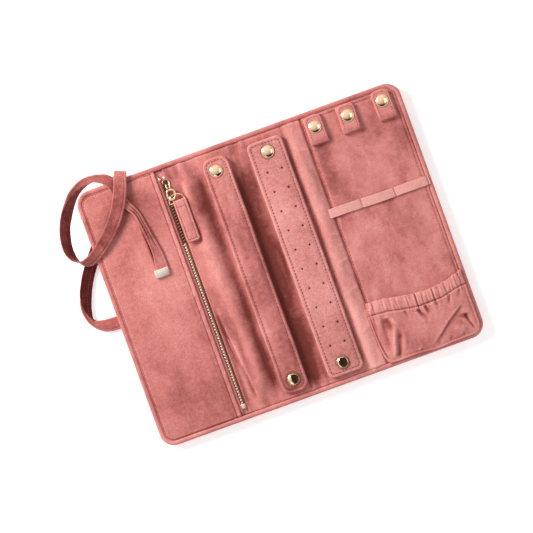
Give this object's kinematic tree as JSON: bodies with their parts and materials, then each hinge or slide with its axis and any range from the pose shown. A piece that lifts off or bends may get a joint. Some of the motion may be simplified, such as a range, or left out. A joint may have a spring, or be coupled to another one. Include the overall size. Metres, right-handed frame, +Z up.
{
  "type": "travel jewelry case",
  "caption": "Fold-up velvet travel jewelry case, shown open, with zip pocket, ring and earring straps, necklace tabs, gathered pocket and ribbon tie.",
  "frame": {"origin": "middle of the outer cover's underside, case laid open flat", "axes": "+X from the zip pocket panel to the necklace panel, +Y towards the edge with the necklace tabs, +Z up out of the lining"},
  "size_m": [0.3018, 0.2269, 0.0124],
  "materials": {
    "outer_velvet": "matte",
    "lining_velvet": "matte",
    "pale_suede": "matte",
    "ribbon": "matte",
    "woven_elastic": "matte",
    "thread": "matte",
    "zip_tape": "matte",
    "board": "matte",
    "foam": "matte",
    "gold": "polished"
  },
  "bodies": {
    "center_panel": {"center_cover": "outer_velvet", "center_board": "board", "center_padding": "foam", "center_lining": "lining_velvet", "center_edge_roll": "outer_velvet", "ring_strap_anchor": "lining_velvet", "earring_strap_anchor": "pale_suede", "anchor_snap_caps": "gold", "anchor_snap_sockets": "gold", "strap_snap_studs": "gold"},
    "left_panel": {"left_cover": "outer_velvet", "left_board": "board", "zip_pocket_back": "pale_suede", "zip_pocket_flap": "lining_velvet", "left_edge_roll": "outer_velvet", "left_spine_lining": "lining_velvet", "zip_tape_left": "zip_tape", "zip_tape_right": "zip_tape", "zip_teeth_left": "gold", "zip_teeth_right": "gold", "zip_top_stops": "gold", "zip_bottom_stop": "gold", "tie_ribbon_root": "ribbon"},
    "right_panel": {"right_cover": "outer_velvet", "right_board": "board", "right_lining": "lining_velvet", "right_edge_roll": "outer_velvet", "elastic_band": "woven_elastic", "band_bar_tacks": "thread", "gathered_pocket": "lining_velvet", "pocket_elastic": "woven_elastic", "necklace_tab_bases": "lining_velvet", "necklace_tab_studs": "gold"},
    "ring_strap": {"ring_strap_cover": "lining_velvet", "ring_strap_core": "foam", "ring_strap_back": "lining_velvet", "ring_strap_snap_cap": "gold", "ring_strap_snap_socket": "gold"},
    "earring_strap": {"earring_strap_front": "pale_suede", "earring_strap_stiffener": "foam", "earring_strap_back": "lining_velvet", "earring_strap_snap_cap": "gold", "earring_strap_snap_socket": "gold"},
    "tab_1": {"necklace_tab_1": "lining_velvet", "tab_snap_cap_1": "gold", "tab_snap_socket_1": "gold"},
    "tab_2": {"necklace_tab_2": "lining_velvet", "tab_snap_cap_2": "gold", "tab_snap_socket_2": "gold"},
    "tab_3": {"necklace_tab_3": "lining_velvet", "tab_snap_cap_3": "gold", "tab_snap_socket_3": "gold"},
    "slider": {"zip_slider": "gold"},
    "pull_link": {"zip_pull_link": "gold"},
    "pull_ring": {"zip_pull_ring": "gold"},
    "pull_tab": {"zip_pull_tab": "lining_velvet"},
    "tie_loop": {"tie_ribbon_loop": "ribbon"},
    "tie_tail": {"tie_ribbon_tail": "ribbon", "tie_end_clip": "gold"}
  },
  "joints": [
    {"name": "left_fold", "type": "hinge", "parent": "center_panel", "child": "left_panel", "pos_m": [-0.05, 0, 0.0162], "axis": [0, 1, 0], "range_deg": [0, 179]},
    {"name": "right_fold", "type": "hinge", "parent": "center_panel", "child": "right_panel", "pos_m": [0.0448, 0, 0.0108], "axis": [0, -1, 0], "range_deg": [0, 179]},
    {"name": "ring_strap_lift", "type": "hinge", "parent": "center_panel", "child": "ring_strap", "pos_m": [-0.02165, -0.0834, 0.0092], "axis": [-1, 0, 0], "range_deg": [-100, 0]},
    {"name": "earring_strap_lift", "type": "hinge", "parent": "center_panel", "child": "earring_strap", "pos_m": [0.02075, -0.0834, 0.0092], "axis": [-1, 0, 0], "range_deg": [-100, 0]},
    {"name": "tab_1_open", "type": "hinge", "parent": "right_panel", "child": "tab_1", "pos_m": [0.0633, 0.0798, 0.007], "axis": [-1, 0, 0], "range_deg": [-150, 0]},
    {"name": "tab_2_open", "type": "hinge", "parent": "right_panel", "child": "tab_2", "pos_m": [0.0904, 0.0798, 0.007], "axis": [-1, 0, 0], "range_deg": [-150, 0]},
    {"name": "tab_3_open", "type": "hinge", "parent": "right_panel", "child": "tab_3", "pos_m": [0.1212, 0.0798, 0.007], "axis": [-1, 0, 0], "range_deg": [-150, 0]},
    {"name": "zip_slide", "type": "slide", "parent": "left_panel", "child": "slider", "axis": [0, 1, 0], "range_m": [-0.178, 0]},
    {"name": "pull_link_swing", "type": "hinge", "parent": "slider", "child": "pull_link", "pos_m": [-0.063, 0.0859, 0.0079], "axis": [1, 0, 0], "range_deg": [-70, 0]},
    {"name": "pull_ring_swing", "type": "hinge", "parent": "pull_link", "child": "pull_ring", "pos_m": [-0.06125, 0.0809, 0.0079], "axis": [1, 0, 0], "range_deg": [-45, 0]},
    {"name": "pull_tab_swing", "type": "hinge", "parent": "pull_ring", "child": "pull_tab", "pos_m": [-0.0595, 0.0748, 0.0079], "axis": [1, 0, 0], "range_deg": [-45, 0]},
    {"name": "tie_loop_lift", "type": "hinge", "parent": "left_panel", "child": "tie_loop", "pos_m": [-0.0966, 0.1195, 0.0073], "axis": [1, 0, 0], "range_deg": [-120, 0]},
    {"name": "tie_tail_lift", "type": "hinge", "parent": "tie_loop", "child": "tie_tail", "pos_m": [-0.0988, 0.0864, 0.0074], "axis": [1, 0, 0], "range_deg": [-90, 0]}
  ]
}
